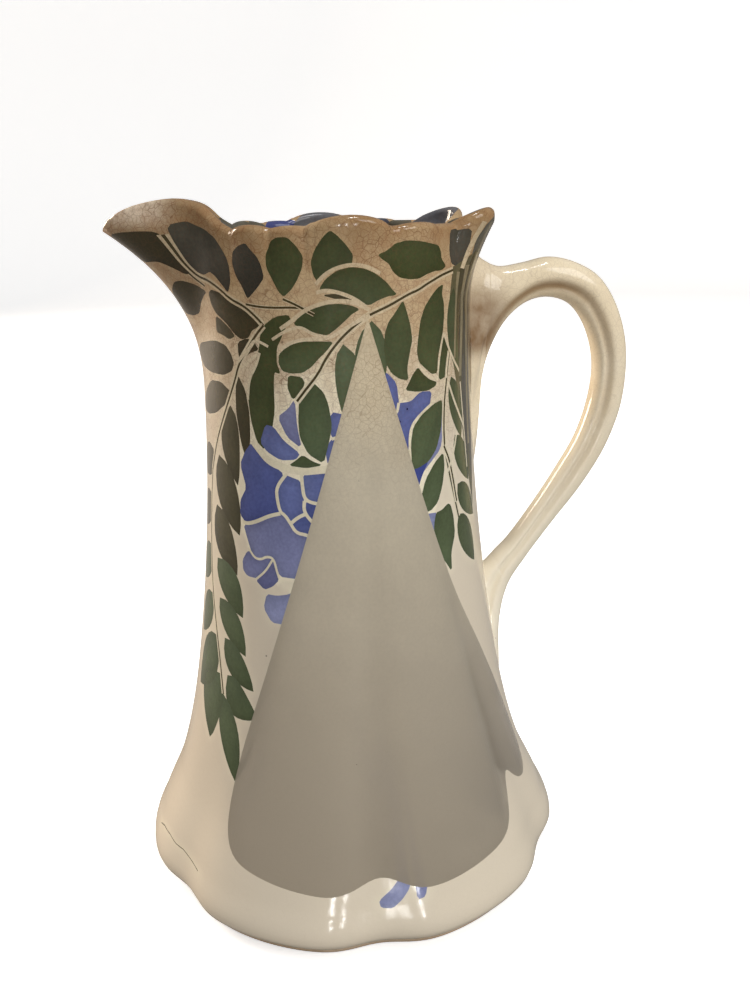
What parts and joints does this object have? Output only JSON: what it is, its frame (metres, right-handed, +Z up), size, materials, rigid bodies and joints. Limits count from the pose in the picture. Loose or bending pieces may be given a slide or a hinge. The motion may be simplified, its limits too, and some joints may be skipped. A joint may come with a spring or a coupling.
{
  "type": "ceramic pitcher",
  "caption": "Tall earthenware pitcher with a pleated flared skirt, frilled rim, pouring lip and looped strap handle.",
  "frame": {"origin": "the body's axis on the plane that the standing ring rests on", "axes": "+Z up along the body; the pouring lip points along -X and the handle along +X"},
  "size_m": [0.1976, 0.1644, 0.26],
  "materials": {
    "glazed_ivory": "glossy crazed glaze over sprayed stencil colours",
    "glazed_cream": "glossy crazed glaze, stained in the grooves",
    "bare_clay": "matt unglazed clay, worn"
  },
  "bodies": {
    "root": {"body_wall": "glazed_ivory", "base_floor": "glazed_ivory", "foot_ring": "bare_clay", "handle": "glazed_cream", "upper_luting": "glazed_cream", "lower_luting": "glazed_cream"}
  },
  "joints": []
}
